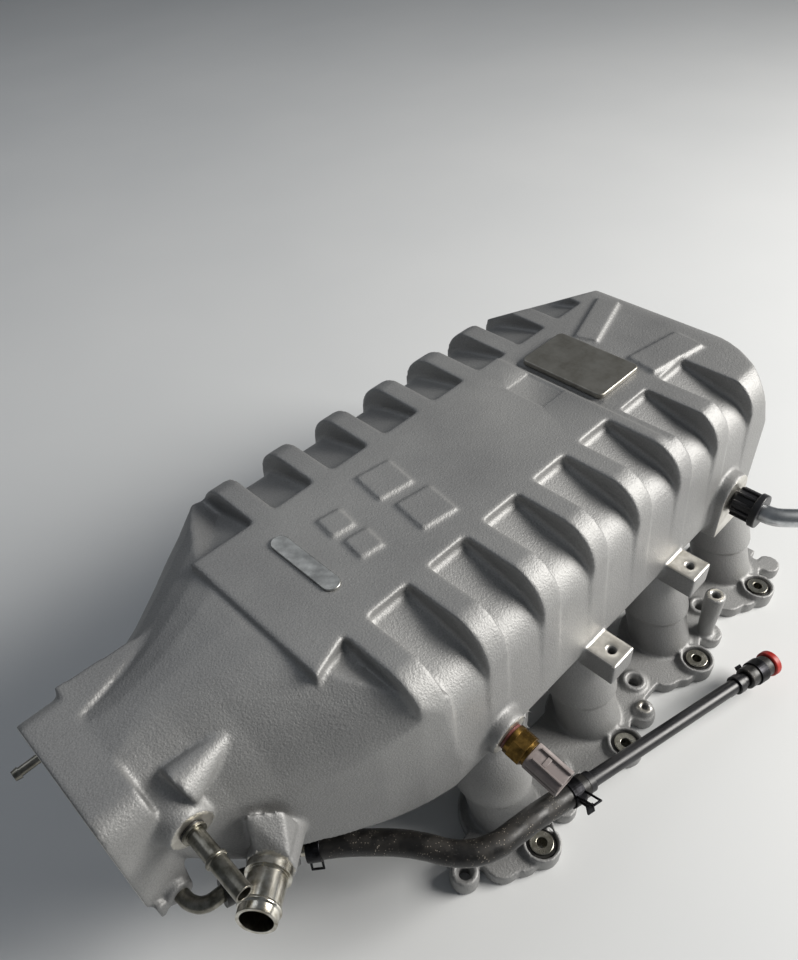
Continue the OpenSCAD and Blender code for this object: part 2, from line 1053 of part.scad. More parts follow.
placed() plenum_shell();
placed() plenum_floor();
placed() throttle_neck();
placed() throttle_seal();
placed() runner_near_1();
placed() runner_near_2();
placed() runner_near_3();
placed() runner_near_4();
placed() runner_far_1();
placed() runner_far_2();
placed() runner_far_3();
placed() runner_far_4();
placed() head_flange_near();
placed() head_flange_far();
placed() port_seals_near();
placed() port_seals_far();
placed() isolators_near();
placed() isolators_far();
placed() sleeves_near();
placed() sleeves_far();
placed() bellmouths_near();
placed() bellmouths_far();
placed() bracket_boss_front();
placed() bracket_boss_rear();
placed() standoff_post();
placed() dowel_boss();
placed() sensor_boss();
placed() sensor_seal();
placed() sensor_body();
placed() sensor_housing();
placed() sensor_pins();
placed() line_boss();
placed() line_seal();
placed() line_connector();
placed() line_pipe();
placed() breather_boss();
placed() breather_seal();
placed() breather_tube();
placed() spigot_block();
placed() spigot();
placed() vacuum_nipple();
placed() elbow_pipe();
placed() elbow_joiner();
placed() hose_barb();
placed() hose();
placed() clamp_front();
placed() clamp_middle();
placed() clamp_rear();
placed() transfer_pipe();
placed() pipe_clip();
placed() end_sleeve();
placed() end_plug();
placed() machined_pad();
placed() badge_plate();
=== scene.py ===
# Cast aluminium intake manifold, standing on its two head flanges, with its
# small fittings: sensor, breather tube, spigot, hose, transfer pipe and plug.
import math
import bmesh
import bpy
from mathutils import Matrix, Vector


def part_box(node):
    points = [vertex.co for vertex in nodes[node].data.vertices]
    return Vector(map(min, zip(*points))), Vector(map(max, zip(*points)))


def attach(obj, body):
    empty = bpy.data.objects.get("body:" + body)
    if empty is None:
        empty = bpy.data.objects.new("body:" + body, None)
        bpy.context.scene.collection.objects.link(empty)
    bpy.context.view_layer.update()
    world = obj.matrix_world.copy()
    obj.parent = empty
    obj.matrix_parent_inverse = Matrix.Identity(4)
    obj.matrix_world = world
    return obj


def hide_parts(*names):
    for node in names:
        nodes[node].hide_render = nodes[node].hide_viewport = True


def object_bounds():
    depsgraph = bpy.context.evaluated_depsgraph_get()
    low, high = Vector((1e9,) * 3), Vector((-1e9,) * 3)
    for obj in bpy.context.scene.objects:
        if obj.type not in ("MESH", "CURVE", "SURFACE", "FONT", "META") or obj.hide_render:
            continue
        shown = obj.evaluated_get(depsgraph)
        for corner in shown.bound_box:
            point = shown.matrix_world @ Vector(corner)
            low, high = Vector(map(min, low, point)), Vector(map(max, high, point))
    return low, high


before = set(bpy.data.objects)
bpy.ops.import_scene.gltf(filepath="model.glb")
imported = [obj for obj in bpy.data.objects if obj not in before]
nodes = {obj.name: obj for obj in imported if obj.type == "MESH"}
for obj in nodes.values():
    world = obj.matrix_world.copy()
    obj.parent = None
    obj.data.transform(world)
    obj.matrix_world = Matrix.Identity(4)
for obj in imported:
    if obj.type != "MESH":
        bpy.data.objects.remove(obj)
cad_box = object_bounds()

MM = 0.001
BODY = "manifold"
BENCH = cad_box[0][2]


# ---------------------------------------------------------------- camera
# The viewer stands in front of the throttle flange on the near side and looks
# down along the casting, with a lens a little wider than normal.
LENS = 30.084
SENSOR = 36.0
camera = bpy.data.objects.new("camera", bpy.data.cameras.new("camera"))
camera.data.lens = LENS
camera.data.sensor_width = SENSOR
camera.data.sensor_fit = "AUTO"
camera.matrix_world = Matrix((
    (0.70470, 0.51170, -0.49160, 0.0010372),
    (-0.70700, 0.44800, -0.54710, -0.2734964),
    (-0.05970, 0.73310, 0.67750, 0.5565606),
    (0.0, 0.0, 0.0, 1.0)))
camera.location.z += BENCH
bpy.context.scene.collection.objects.link(camera)
bpy.context.scene.camera = camera


# ---------------------------------------------------------------- floor and light
# A plain pale bench, a broad window-like light from the rear right and a weak
# fill, so that the walls facing the throttle stay darker.
def linear(code):
    """Linear RGBA of an sRGB hex colour."""
    parts = [int(code[i:i + 2], 16) / 255 for i in (1, 3, 5)]
    return [c / 12.92 if c <= 0.04045 else ((c + 0.055) / 1.055) ** 2.4 for c in parts] + [1.0]


def add(tree, kind, inputs=None, **settings):
    """Adds one node; inputs are values, or sockets to link from."""
    node = tree.nodes.new(kind)
    for name, value in settings.items():
        setattr(node, name, value)
    for key, value in (inputs or {}).items():
        if isinstance(value, bpy.types.NodeSocket):
            tree.links.new(value, node.inputs[key])
        else:
            node.inputs[key].default_value = value
    return node


def new_material(name):
    """An empty node material, its tree, its shader and its object coordinates."""
    material = bpy.data.materials.new(name)
    material.use_nodes = True
    tree = material.node_tree
    shader = tree.nodes["Principled BSDF"]
    place = add(tree, "ShaderNodeTexCoord").outputs["Object"]
    return material, tree, shader, place


FLOOR_SIZE = 8.0
floor_mesh = bmesh.new()
bmesh.ops.create_grid(floor_mesh, x_segments=1, y_segments=1, size=FLOOR_SIZE / 2)
bmesh.ops.translate(floor_mesh, verts=floor_mesh.verts, vec=(0.28, 0, BENCH))


def finish_mesh(shape, name, *materials, smooth=None):
    """Turns a bmesh into a linked object; smooth is the sharp angle in degrees."""
    mesh = bpy.data.meshes.new(name)
    shape.to_mesh(mesh)
    shape.free()
    piece = bpy.data.objects.new(name, mesh)
    bpy.context.scene.collection.objects.link(piece)
    for material in materials:
        mesh.materials.append(material)
    if smooth is not None:
        mesh.shade_smooth()
        mesh.set_sharp_from_angle(angle=math.radians(smooth))
    return piece


# Painted bench board: pale satin paint with faint uneven patches.
bench_paint, tree, shader, place = new_material("bench_paint")
patches = add(tree, "ShaderNodeTexNoise", {"Vector": place, "Scale": 3.0, "Detail": 3.0})
tone = add(tree, "ShaderNodeMix", {0: patches.outputs[0], 6: linear("#d0d2d3"), 7: linear("#dcdddd")},
           data_type="RGBA")
tree.links.new(tone.outputs[2], shader.inputs["Base Color"])
shader.inputs["Roughness"].default_value = 0.55
floor = finish_mesh(floor_mesh, "floor", bench_paint)


def area_light(name, aim, direction, distance, size, watts, colour):
    """A square area light that shines at aim from the given direction."""
    data = bpy.data.lights.new(name, "AREA")
    data.shape = "RECTANGLE"
    data.size, data.size_y = size
    data.energy = watts
    data.color = linear(colour)[:3]
    light = bpy.data.objects.new(name, data)
    away = Vector(direction).normalized()
    light.location = Vector(aim) + away * distance
    light.rotation_euler = away.to_track_quat("Z", "Y").to_euler()
    bpy.context.scene.collection.objects.link(light)


AIM = (0.28, 0.0, BENCH + 0.1)
area_light("window", AIM, (0.66, -0.64, 0.56), 2.2, (1.2, 1.0), 76, "#fffcf7")
area_light("ceiling", AIM, (-0.1, 0.9, 1.3), 2.6, (2.2, 1.6), 9, "#eef2f8")
world = bpy.data.worlds.new("room")
world.use_nodes = True
world.node_tree.nodes["Background"].inputs["Color"].default_value = linear("#c3cad2")
world.node_tree.nodes["Background"].inputs["Strength"].default_value = 0.2
bpy.context.scene.world = world
bpy.context.scene.view_settings.view_transform = "Standard"


# ---------------------------------------------------------------- plenum casting
# Sand-cast aluminium silicon alloy, one casting on the real part: plenum, floor,
# throttle neck and bosses. All edges are rounded and the skin has a fine sand grain.
def cast_alloy(name, dark, light, grain_mm, roughness):
    """As-cast aluminium: matte metal with a fine sand grain in relief and soft cloudy patches."""
    material, tree, shader, place = new_material(name)
    grain = add(tree, "ShaderNodeTexNoise",
                {"Vector": place, "Scale": 1.0 / (grain_mm * MM), "Detail": 3.0, "Roughness": 0.55})
    pits = add(tree, "ShaderNodeTexVoronoi",
               {"Vector": place, "Scale": 0.7 / (grain_mm * MM)}, feature="SMOOTH_F1")
    cloud = add(tree, "ShaderNodeTexNoise", {"Vector": place, "Scale": 9.0, "Detail": 4.0, "Roughness": 0.55})
    spread = add(tree, "ShaderNodeMapRange", {0: cloud.outputs[0], 1: 0.3, 2: 0.7})
    skin = add(tree, "ShaderNodeMix", {0: spread.outputs[0], 6: linear(dark), 7: linear(light)},
               data_type="RGBA")
    sand = add(tree, "ShaderNodeMapRange", {0: grain.outputs[0], 1: 0.3, 2: 0.7, 3: 0.84, 4: 1.08})
    tone = add(tree, "ShaderNodeVectorMath", {0: skin.outputs[2], "Scale": sand.outputs[0]}, operation="SCALE")
    tree.links.new(tone.outputs[0], shader.inputs["Base Color"])
    relief = add(tree, "ShaderNodeMath", {0: grain.outputs[0], 1: pits.outputs[0]}, operation="ADD")
    bump = add(tree, "ShaderNodeBump", {"Height": relief.outputs[0], "Strength": 0.6, "Distance": 0.3 * MM})
    tree.links.new(bump.outputs[0], shader.inputs["Normal"])
    rough = add(tree, "ShaderNodeMapRange", {0: cloud.outputs[0], 3: roughness - 0.04, 4: roughness + 0.06})
    tree.links.new(rough.outputs[0], shader.inputs["Roughness"])
    shader.inputs["Metallic"].default_value = 0.6
    return material


sand_cast = cast_alloy("sand_cast_aluminium", "#8a8a8a", "#9f9f9e", 0.9, 0.56)


def copy_node(shape, name):
    """Adds a CAD node's surface to a bmesh, with its corners joined."""
    shape.from_mesh(nodes[name].data)
    bmesh.ops.remove_doubles(shape, verts=shape.verts, dist=0.00001)


def baked(holder):
    """The mesh of an object with its modifiers worked in; the object itself goes."""
    depsgraph = bpy.context.evaluated_depsgraph_get()
    mesh = bpy.data.meshes.new_from_object(holder.evaluated_get(depsgraph))
    bpy.data.objects.remove(holder)
    return mesh


def cast_body(name, members, extras, press, voxel_mm, passes, triangles, *materials):
    """One smooth casting out of several solids: fused, every edge rounded, hollows pressed in."""
    shape = bmesh.new()
    for member in members:
        copy_node(shape, member)
    extras(shape)
    raw = finish_mesh(shape, name + "_raw")
    fuse = raw.modifiers.new("fuse", "REMESH")
    fuse.mode = "VOXEL"
    fuse.voxel_size = voxel_mm * MM
    soften = raw.modifiers.new("soften", "SMOOTH")
    soften.factor = 0.5
    soften.iterations = passes
    mesh = baked(raw)
    press(mesh)
    count = sum(len(polygon.vertices) - 2 for polygon in mesh.polygons)
    rough = bpy.data.objects.new(name + "_rough", mesh)
    bpy.context.scene.collection.objects.link(rough)
    rough.modifiers.new("thin", "DECIMATE").ratio = min(1.0, triangles / count)
    mesh = baked(rough)
    piece = bpy.data.objects.new(name, mesh)
    bpy.context.scene.collection.objects.link(piece)
    mesh.materials.clear()
    for material in materials:
        mesh.materials.append(material)
    mesh.shade_smooth()
    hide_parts(*members)
    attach(piece, BODY)
    return piece


PLENUM = ["plenum_shell", "plenum_floor", "throttle_neck", "sensor_boss", "line_boss",
          "breather_boss", "spigot_block", "bracket_boss_front", "bracket_boss_rear"]
TOP = (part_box("plenum_shell")[1].z - BENCH) / MM


def spot(point):
    """A place in metres, from millimetres with the height counted from the bench."""
    return Vector(point) * MM + Vector((0, 0, BENCH))


def block(shape, low, high, turn=0.0):
    """A box between two corners, turned about Z by degrees."""
    low, high = spot(low), spot(high)
    made = bmesh.ops.create_cube(shape, size=1.0)["verts"]
    bmesh.ops.scale(shape, verts=made, vec=high - low)
    bmesh.ops.rotate(shape, verts=made, matrix=Matrix.Rotation(math.radians(turn), 3, "Z"))
    bmesh.ops.translate(shape, verts=made, vec=(low + high) / 2)
    return made


def boss(shape, start, along, length, radius, tip):
    """A round boss from a start point along a direction."""
    way = Vector(along).normalized()
    place = Matrix.Translation(spot(start) + way * length * MM / 2) @ way.to_track_quat("Z", "Y").to_matrix().to_4x4()
    bmesh.ops.create_cone(shape, cap_ends=True, segments=32, radius1=radius * MM, radius2=tip * MM,
                          depth=length * MM, matrix=place)


def plenum_extras(shape):
    """Raised strips behind the pad, plain raised bars on the panel, the boss of the elbow."""
    block(shape, (468, 17, TOP - 8), (530, 35, TOP + 0.6), 18)
    block(shape, (466, -52, TOP - 8), (520, -27, TOP + 0.6), -9)
    for low, high in (((237, 5), (263, 31)), ((237, -33), (263, -6)), ((195, 4), (211, 21)), ((195, -21), (211, -4))):
        block(shape, low + (TOP - 4,), high + (TOP + 2.0,), -8)
    lug = [shape.verts.new(spot(corner)) for corner in (
        (60, -66, 152), (77, -77, 147), (82, -79, 128), (72, -78, 94), (55, -78, 133), (66, -92, 131),
        (68, -86, 106), (54, -78, 107), (60, -60, 110))]
    bmesh.ops.convex_hull(shape, input=lug)
    boss(shape, (17, -40, 102), (0, -1, 0), 12, 9, 8)
    block(shape, (3, -52, 95), (7, -40, 107))


def panel_recess(mesh):
    """Presses the shallow square recess in front of the pad, and the groove along the pad."""
    for low, high, depth in (((379, -11), (404, 22), 1.8), ((408, -38), (413, 38), 1.2)):
        for vertex in mesh.vertices:
            x, y = vertex.co.x / MM, vertex.co.y / MM
            inside = min(x - low[0], high[0] - x, y - low[1], high[1] - y)
            if inside > -1.2 and abs(vertex.co.z - BENCH - TOP * MM) < 3.5 * MM:
                vertex.co.z -= depth * MM * min(1.0, (inside + 1.2) / 2.4)


plenum = cast_body("plenum_casting", PLENUM, plenum_extras, panel_recess, 1.5, 5, 195000, sand_cast)


# ---------------------------------------------------------------- machined faces
# The joint faces are milled or spot faced after casting: brighter, smoother metal
# with fine cutter marks, on the same casting.
def milled_alloy(name, dark, light, roughness, mark_mm, rings=False):
    """Cut aluminium: bright metal with fine parallel or round cutter marks."""
    material, tree, shader, place = new_material(name)
    marks = add(tree, "ShaderNodeTexWave",
                {"Vector": place, "Scale": 0.05 / (mark_mm * MM), "Distortion": 2.5, "Detail": 3.0},
                wave_type="RINGS" if rings else "BANDS", bands_direction="DIAGONAL")
    stain = add(tree, "ShaderNodeTexNoise", {"Vector": place, "Scale": 60.0, "Detail": 6.0, "Roughness": 0.65})
    spread = add(tree, "ShaderNodeMapRange", {0: stain.outputs[0], 1: 0.35, 2: 0.62})
    tone = add(tree, "ShaderNodeMix", {0: spread.outputs[0], 6: linear(dark), 7: linear(light)},
               data_type="RGBA")
    tree.links.new(tone.outputs[2], shader.inputs["Base Color"])
    rough = add(tree, "ShaderNodeMapRange", {0: stain.outputs[0], 3: roughness + 0.12, 4: roughness - 0.08})
    tree.links.new(rough.outputs[0], shader.inputs["Roughness"])
    bump = add(tree, "ShaderNodeBump", {"Height": marks.outputs[0], "Strength": 0.25, "Distance": 0.12 * MM})
    tree.links.new(bump.outputs[0], shader.inputs["Normal"])
    shader.inputs["Metallic"].default_value = 0.95
    return material


milled = milled_alloy("milled_aluminium", "#b3afa6", "#dedbd4", 0.34, 0.8)


def mill(piece, faces):
    """Gives the milled finish to the parts of a casting that lie on the given flat faces."""
    slot_at = len(piece.data.materials)
    piece.data.materials.append(milled)
    for point, normal, reach, width in faces:
        point, normal = spot(point), Vector(normal).normalized()
        for polygon in piece.data.polygons:
            away = polygon.center - point
            height = away.dot(normal)
            flat = away - height * normal
            if abs(height) < 0.9 * MM and polygon.normal.dot(normal) > 0.9 and flat.length < reach * MM:
                if abs(flat.x) < width * MM or width == 0:
                    polygon.material_index = slot_at


SENSOR_AT = (207, -125, 112)
SENSOR_AXIS = Vector((0, -math.cos(math.radians(8)), -math.sin(math.radians(8))))
bracket_top = (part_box("bracket_boss_front")[1].z - BENCH) / MM
mill(plenum, [
    ((0, 0, 143), (-1, 0, 0), 70, 0),
    ((36, -57, 158), (0, -1, 0), 13, 0),
    ((57, -84, 119.7), (-0.757, -0.62, 0.21), 15, 0),
    (SENSOR_AT, SENSOR_AXIS, 15.5, 0),
    ((474, -126, 117), (0, -1, 0), 34, 19.5),
    ((304, -131, bracket_top), (0, 0, 1), 18, 12),
    ((402.5, -131, bracket_top), (0, 0, 1), 18, 12)])


# ---------------------------------------------------------------- runner banks
# Four slanted runners and the head flange of each bank, part of the same casting.
# Every bolt lobe has a raised cup round its rubber isolator.
BOLT_X = 206.5
PITCH = 98.5
BANK_SHIFT = 19.0


def ring(shape, centre, inner, outer, low, high):
    """A plain ring about a vertical axis, in millimetres."""
    made = []
    for radius, z in ((inner, low), (outer, low), (outer, high), (inner, high)):
        made.append(shape.verts.new(spot((centre[0] + radius, centre[1], z))))
    face = shape.faces.new(made)
    bmesh.ops.spin(shape, geom=[face], cent=Vector((centre[0], centre[1], 0)) * MM, axis=(0, 0, 1),
                   angle=2 * math.pi, steps=32, use_merge=True)
    bmesh.ops.delete(shape, geom=[face], context="FACES_ONLY")


def plain(mesh):
    """Nothing is pressed into this casting."""


def bolt_cups(side):
    """Cups round the isolators, rims round the stud holes, collars at the runner roots."""
    shift = BANK_SHIFT if side > 0 else 0.0

    def extras(shape):
        for k in range(4):
            ring(shape, (BOLT_X + shift + PITCH * k, side * 157), 10.6, 13.4, 7, 14.5)
            ring(shape, (BOLT_X + shift - 49 + PITCH * k, side * 132), 5.4, 9.4, 7, 13.5)
            before = len(shape.verts)
            ring(shape, (210 + shift + PITCH * k, side * 122), 19.2, 25.5, 78, 99)
            shape.verts.ensure_lookup_table()
            bmesh.ops.rotate(shape, verts=shape.verts[before:], cent=spot((0, side * 122, 10)),
                             matrix=Matrix.Rotation(side * math.atan(25 / 77), 3, "X"))
    return extras


for side, sign in (("near", -1), ("far", 1)):
    members = ["head_flange_" + side] + ["runner_%s_%d" % (side, k) for k in (1, 2, 3, 4)]
    if side == "near":
        members += ["standoff_post", "dowel_boss"]
    bank = cast_body("runner_bank_" + side, members, bolt_cups(sign), plain, 1.4, 4, 170000, sand_cast)
    faces = [((280, sign * 122, 0), (0, 0, -1), 260, 0)]
    if side == "near":
        faces += [((434, -147, 56), (0, 0, 1), 9, 0), ((339, -151, 15), (0, 0, 1), 7, 0)]
    mill(bank, faces)


# ---------------------------------------------------------------- pad and plain badge plate
# A milled pad behind the panel and a plain oval plate let into the front of it.
def rounded(name, members, round_mm, material, body=BODY, segments=2):
    """A copy of small machined or moulded CAD parts with their corners rounded."""
    shape = bmesh.new()
    for member in members:
        copy_node(shape, member)
    bmesh.ops.dissolve_limit(shape, angle_limit=math.radians(0.8), verts=shape.verts, edges=shape.edges,
                             use_dissolve_boundaries=False, delimit={"NORMAL"})
    piece = finish_mesh(shape, name, material, smooth=38)
    if round_mm:
        edge = piece.modifiers.new("edge", "BEVEL")
        edge.width = round_mm * MM
        edge.segments = segments
        edge.profile = 0.5
        edge.limit_method = "ANGLE"
        edge.angle_limit = math.radians(38)
        edge.use_clamp_overlap = True
    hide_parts(*members)
    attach(piece, body)
    return piece


pad_metal = milled_alloy("stained_milled_aluminium", "#86837b", "#aaa79f", 0.42, 1.2)
rounded("pad", ["machined_pad"], 0.7, pad_metal)
plate_metal = milled_alloy("brushed_plate", "#9b9b98", "#cfcfca", 0.3, 0.6)
rounded("badge_blank", ["badge_plate"], 0.5, plate_metal)


# ---------------------------------------------------------------- steel tubes of the throttle neck
# Breather tube, vacuum nipple and elbow: bent and beaded steel tube with a dull
# yellow-grey zinc finish, pressed into the neck.
def plated_metal(name, dark, light, roughness, stain_mm):
    """Plated metal: smooth, with cloudy stains where the plating has dulled."""
    material, tree, shader, place = new_material(name)
    stain = add(tree, "ShaderNodeTexNoise",
                {"Vector": place, "Scale": 1.0 / (stain_mm * MM), "Detail": 6.0, "Roughness": 0.6})
    spread = add(tree, "ShaderNodeMapRange", {0: stain.outputs[0], 1: 0.36, 2: 0.64})
    tone = add(tree, "ShaderNodeMix", {0: spread.outputs[0], 6: linear(dark), 7: linear(light)},
               data_type="RGBA")
    tree.links.new(tone.outputs[2], shader.inputs["Base Color"])
    rough = add(tree, "ShaderNodeMapRange", {0: stain.outputs[0], 3: roughness + 0.1, 4: roughness - 0.08})
    tree.links.new(rough.outputs[0], shader.inputs["Roughness"])
    bump = add(tree, "ShaderNodeBump", {"Height": stain.outputs[0], "Strength": 0.2, "Distance": 0.1 * MM})
    tree.links.new(bump.outputs[0], shader.inputs["Normal"])
    shader.inputs["Metallic"].default_value = 1.0
    return material


zinc_tube = plated_metal("yellow_grey_zinc", "#615f55", "#96938a", 0.3, 6)
turned = plated_metal("turned_aluminium", "#8f897a", "#e4e1d8", 0.2, 7)
rounded("breather_pipe", ["breather_tube"], 0.25, zinc_tube)
rounded("vacuum_pipe", ["vacuum_nipple"], 0.25, zinc_tube)
rounded("hose_spigot", ["spigot"], 0.5, turned)
rounded("lug_barb", ["hose_barb"], 0.3, turned)


def bent_tube(name, route, radius, replaced, material, body=BODY, bore=0.0):
    """A round tube along a smooth route in millimetres."""
    curve = bpy.data.curves.new(name + "_line", "CURVE")
    curve.dimensions = "3D"
    curve.resolution_u = 8
    curve.bevel_depth = radius * MM
    curve.bevel_resolution = 8
    curve.use_fill_caps = bore == 0
    line = curve.splines.new("BEZIER")
    line.bezier_points.add(len(route) - 1)
    for knot, point in zip(line.bezier_points, route):
        knot.co = spot(point)
        knot.handle_left_type = knot.handle_right_type = "AUTO"
    holder = bpy.data.objects.new(name + "_line", curve)
    bpy.context.scene.collection.objects.link(holder)
    mesh = bpy.data.meshes.new_from_object(holder.evaluated_get(bpy.context.evaluated_depsgraph_get()))
    bpy.data.objects.remove(holder)
    shape = bmesh.new()
    shape.from_mesh(mesh)
    bpy.data.meshes.remove(mesh)
    bmesh.ops.remove_doubles(shape, verts=shape.verts, dist=0.00001)
    bmesh.ops.recalc_face_normals(shape, faces=shape.faces)
    if bore:
        bmesh.ops.solidify(shape, geom=shape.faces[:], thickness=(radius - bore) * MM)
        bmesh.ops.recalc_face_normals(shape, faces=shape.faces)
    piece = finish_mesh(shape, name, material, smooth=50)
    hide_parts(replaced)
    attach(piece, body)
    return piece


ELBOW_ROUTE = [(17, -47, 102), (17, -54, 102), (18.5, -60, 101.5), (23, -65, 101), (31, -67, 101),
               (38, -67, 101)]
bent_tube("elbow", ELBOW_ROUTE, 4.5, "elbow_pipe", zinc_tube)


# ---------------------------------------------------------------- hose and elbow joiner
# Moulded rubber, pushed over the barb and over the end of the plastic pipe. The
# upper side is covered in dust and pale grit.
def dusty_rubber(name, base, dust, grit):
    """Black rubber with dust on what faces up and scattered pale grains."""
    material, tree, shader, place = new_material(name)
    cloud = add(tree, "ShaderNodeTexNoise", {"Vector": place, "Scale": 90.0, "Detail": 5.0, "Roughness": 0.65})
    grains = add(tree, "ShaderNodeTexVoronoi", {"Vector": place, "Scale": 900.0})
    patch = add(tree, "ShaderNodeMapRange", {0: cloud.outputs[0], 1: 0.42, 2: 0.66})
    near_grain = add(tree, "ShaderNodeMapRange", {0: grains.outputs[0], 1: 0.30, 2: 0.22})
    chosen = add(tree, "ShaderNodeMath", {0: grains.outputs["Color"], 1: 0.62}, operation="GREATER_THAN")
    shown = add(tree, "ShaderNodeMath", {0: near_grain.outputs[0], 1: chosen.outputs[0]}, operation="MULTIPLY")
    grit_here = add(tree, "ShaderNodeMath", {0: shown.outputs[0], 1: patch.outputs[0]}, operation="MULTIPLY")
    facing = add(tree, "ShaderNodeNewGeometry")
    upward = add(tree, "ShaderNodeSeparateXYZ", {0: facing.outputs["Normal"]})
    lying = add(tree, "ShaderNodeMapRange", {0: upward.outputs[2], 1: -0.2, 2: 0.9, 3: 0.0, 4: 0.55})
    film = add(tree, "ShaderNodeMath", {0: lying.outputs[0], 1: patch.outputs[0]}, operation="MULTIPLY")
    skin = add(tree, "ShaderNodeMix", {0: film.outputs[0], 6: linear(base), 7: linear(dust)}, data_type="RGBA")
    tone = add(tree, "ShaderNodeMix", {0: grit_here.outputs[0], 6: skin.outputs[2], 7: linear(grit)},
               data_type="RGBA")
    tree.links.new(tone.outputs[2], shader.inputs["Base Color"])
    bump = add(tree, "ShaderNodeBump", {"Height": shown.outputs[0], "Strength": 0.5, "Distance": 0.2 * MM})
    tree.links.new(bump.outputs[0], shader.inputs["Normal"])
    rough = add(tree, "ShaderNodeMapRange", {0: film.outputs[0], 2: 0.6, 3: 0.38, 4: 0.75})
    tree.links.new(rough.outputs[0], shader.inputs["Roughness"])
    return material


hose_rubber = dusty_rubber("dusty_hose_rubber", "#141312", "#38342f", "#a89f92")
HOSE_ROUTE = [(88, -65, 60.3), (96, -72, 61), (106, -81, 62), (117, -92, 62), (128, -104, 62),
              (138, -118, 62), (146, -131, 61), (156, -141, 60), (170, -148, 59), (186, -151, 57),
              (202, -153.5, 55), (216, -156, 52), (229, -158.6, 49.8), (242, -161.4, 48)]
bent_tube("vent_hose", HOSE_ROUTE, 8, "hose", hose_rubber, bore=5.6)
JOINER_ROUTE = [(33, -67.2, 101), (41, -69, 99), (48, -70, 94), (54, -69, 88), (59, -65.5, 82), (64, -61, 79)]
bent_tube("elbow_sleeve", JOINER_ROUTE, 8, "elbow_joiner", hose_rubber, bore=4.8)


# ---------------------------------------------------------------- transfer pipe, clip, sleeve and plug
# Extruded polyamide pipe with lengthwise die lines, a moulded clip, a short rubber
# sleeve and the red push-in plug that closes it.
def moulded_plastic(name, base, worn, roughness, grain_mm):
    """Moulded plastic: faint grain, slightly paler where it is handled."""
    material, tree, shader, place = new_material(name)
    wear = add(tree, "ShaderNodeTexNoise", {"Vector": place, "Scale": 45.0, "Detail": 6.0, "Roughness": 0.7})
    spread = add(tree, "ShaderNodeMapRange", {0: wear.outputs[0], 1: 0.45, 2: 0.75})
    tone = add(tree, "ShaderNodeMix", {0: spread.outputs[0], 6: linear(base), 7: linear(worn)},
               data_type="RGBA")
    tree.links.new(tone.outputs[2], shader.inputs["Base Color"])
    grain = add(tree, "ShaderNodeTexNoise", {"Vector": place, "Scale": 1.0 / (grain_mm * MM), "Detail": 2.0})
    bump = add(tree, "ShaderNodeBump", {"Height": grain.outputs[0], "Strength": 0.25, "Distance": 0.06 * MM})
    tree.links.new(bump.outputs[0], shader.inputs["Normal"])
    rough = add(tree, "ShaderNodeMapRange", {0: wear.outputs[0], 3: roughness - 0.08, 4: roughness + 0.12})
    tree.links.new(rough.outputs[0], shader.inputs["Roughness"])
    return material


black_nylon = moulded_plastic("black_polyamide", "#151518", "#2a2a2e", 0.34, 0.7)
red_plastic = moulded_plastic("red_polythene", "#8e150f", "#b8301f", 0.42, 0.9)
rounded("nylon_pipe", ["transfer_pipe"], 0.3, black_nylon)
rounded("nylon_clip", ["pipe_clip"], 0.5, black_nylon)
rounded("rubber_sleeve", ["end_sleeve"], 0.8, hose_rubber)
rounded("red_plug", ["end_plug"], 1.2, red_plastic, body="plug", segments=3)


def bar(shape, low, high, turn=0.0):
    """A box of a small part that is built about its own axis, in millimetres."""
    low, high = Vector(low) * MM, Vector(high) * MM
    made = bmesh.ops.create_cube(shape, size=1.0)["verts"]
    bmesh.ops.scale(shape, verts=made, vec=high - low)
    bmesh.ops.translate(shape, verts=made, vec=(low + high) / 2)
    bmesh.ops.rotate(shape, verts=made, matrix=Matrix.Rotation(math.radians(turn), 3, "Z"))


# ---------------------------------------------------------------- spring clamps
# Constant tension clamps: a black phosphated spring steel band whose two ends cross
# and stand out, one as an open frame and one as a folded tang.
clamp_steel = plated_metal("black_phosphated_steel", "#161617", "#333336", 0.42, 5)
PIPE_START = Vector((234, -159.7, 49))
PIPE_END = Vector((413, -197.6, 25.4))
PIPE_LINE = (PIPE_END - PIPE_START).normalized()


def band(shape, inner, outer, low, high, steps=40):
    """The round band of a clamp about Z."""
    corners = [shape.verts.new((r * MM, 0, z * MM))
               for r, z in ((inner, low), (outer, low), (outer, high), (inner, high))]
    face = shape.faces.new(corners)
    bmesh.ops.spin(shape, geom=[face], cent=(0, 0, 0), axis=(0, 0, 1), angle=2 * math.pi, steps=steps,
                   use_merge=True)
    bmesh.ops.delete(shape, geom=[face], context="FACES_ONLY")


def spring_clamp(name, at, along, roll, inner, replaced, frame_reach=15.0):
    """One spring clamp on a hose that runs along the given direction."""
    shape = bmesh.new()
    width = 9.0
    band(shape, inner, inner + 1.0, 0, width)
    for z in (0.2, width - 1.6):
        bar(shape, (inner, -3.4, z), (inner + frame_reach, -2.2, z + 1.4))
    bar(shape, (inner + frame_reach - 1.4, -3.4, 0.2), (inner + frame_reach, -2.2, width - 0.2))
    bar(shape, (inner, 2.2, 2.4), (inner + 7.5, 3.4, width - 2.4))
    bar(shape, (inner + 6.0, 2.2, 1.6), (inner + 7.5, 8.0, width - 1.6))
    turn = Matrix.Rotation(math.radians(roll), 4, "Z")
    aim = Vector(along).to_track_quat("Z", "Y").to_matrix().to_4x4()
    bmesh.ops.transform(shape, matrix=Matrix.Translation(spot(at)) @ aim @ turn, verts=shape.verts)
    bmesh.ops.recalc_face_normals(shape, faces=shape.faces)
    piece = finish_mesh(shape, name, clamp_steel, smooth=35)
    edge = piece.modifiers.new("edge", "BEVEL")
    edge.width = 0.3 * MM
    edge.segments = 2
    edge.limit_method = "ANGLE"
    edge.angle_limit = math.radians(50)
    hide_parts(replaced)
    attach(piece, BODY)


